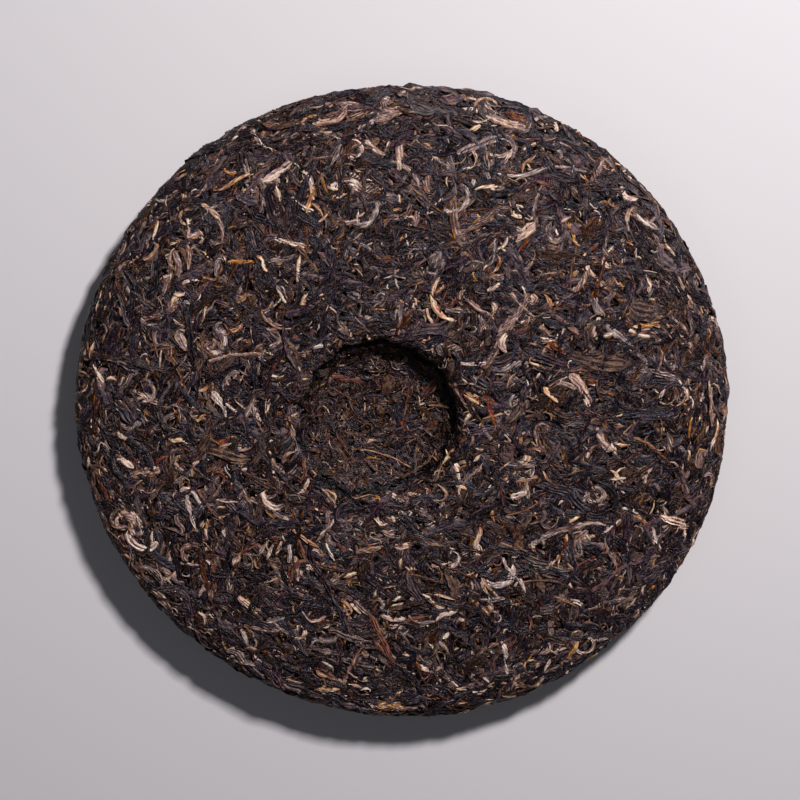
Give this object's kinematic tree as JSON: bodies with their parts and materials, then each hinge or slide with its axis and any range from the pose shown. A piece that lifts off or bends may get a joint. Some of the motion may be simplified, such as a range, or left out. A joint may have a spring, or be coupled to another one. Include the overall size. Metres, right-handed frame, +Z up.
{
  "type": "raw pu-erh tea cake",
  "caption": "Round flat cake of pressed, twisted tea leaves with rounded rims and a shallow round hollow in its back face; lies flat with the hollow up.",
  "frame": {"origin": "middle of the cake's outline, on the surface that it lies on", "axes": "+Z up out of the hollowed back face, through the cake's thickness; +Y is the edge that is uppermost in the picture"},
  "size_m": [0.2, 0.1982, 0.0232],
  "materials": {
    "tea_leaf": "dried, twisted and pressed tea leaves: blue-black to dark brown with a soft satin sheen, and some pale tan and golden downy buds"
  },
  "bodies": {
    "root": {"tea_cake": "tea_leaf"}
  },
  "joints": []
}
